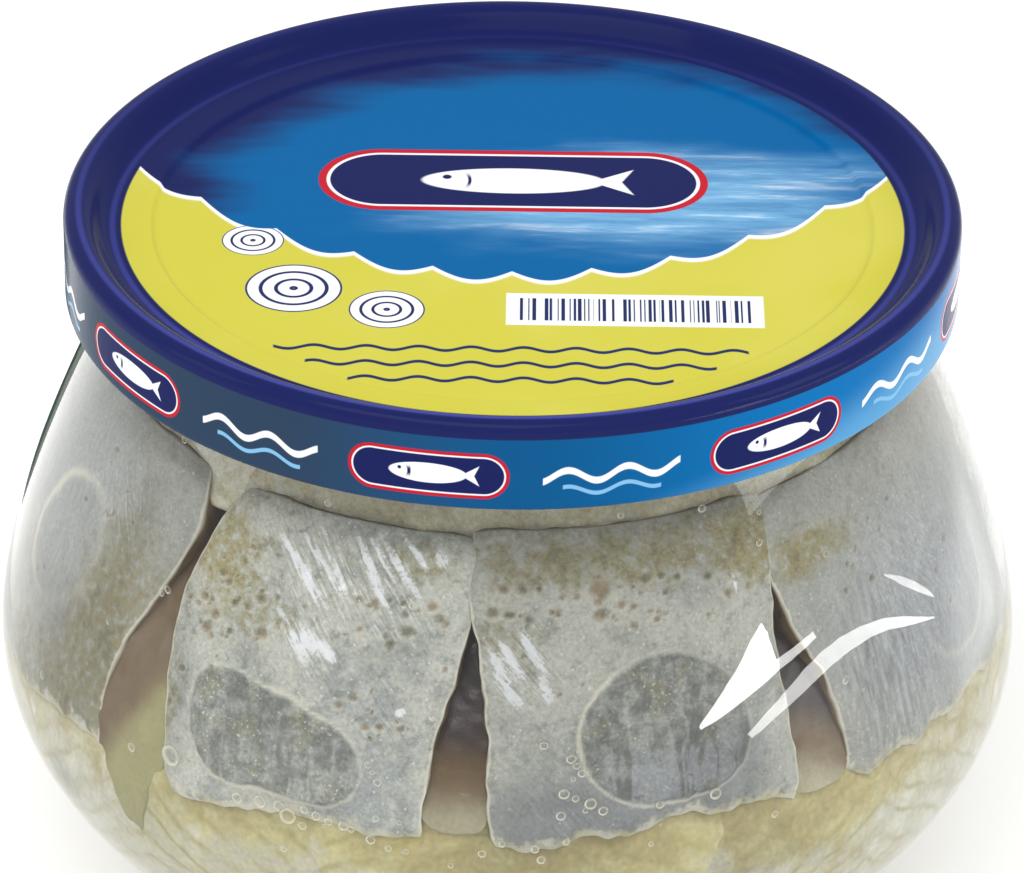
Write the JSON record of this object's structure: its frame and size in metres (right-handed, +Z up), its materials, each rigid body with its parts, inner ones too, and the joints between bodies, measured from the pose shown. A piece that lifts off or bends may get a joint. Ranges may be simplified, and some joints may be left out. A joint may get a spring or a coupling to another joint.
{
  "type": "jar of matjes herring",
  "caption": "Squat round-bellied glass jar packed with matjes herring fillet pieces in oil, shut by a printed blue metal twist-off lid.",
  "frame": {"origin": "middle of the jar's base, on the surface it stands on", "axes": "+Z up along the jar's axis, -Y the front shown in the picture, +X to the viewer's right"},
  "size_m": [0.0996, 0.0996, 0.0728],
  "materials": {
    "jar_glass": "clear smooth glass",
    "printed_lid": "glossy printed lacquer, navy rim, blue and yellow fields",
    "herring": "wet silver-grey skin and pale yellow flesh"
  },
  "bodies": {
    "root": {"glass_jar": "jar_glass", "lid": "printed_lid", "herring_pieces": "herring"}
  },
  "joints": []
}
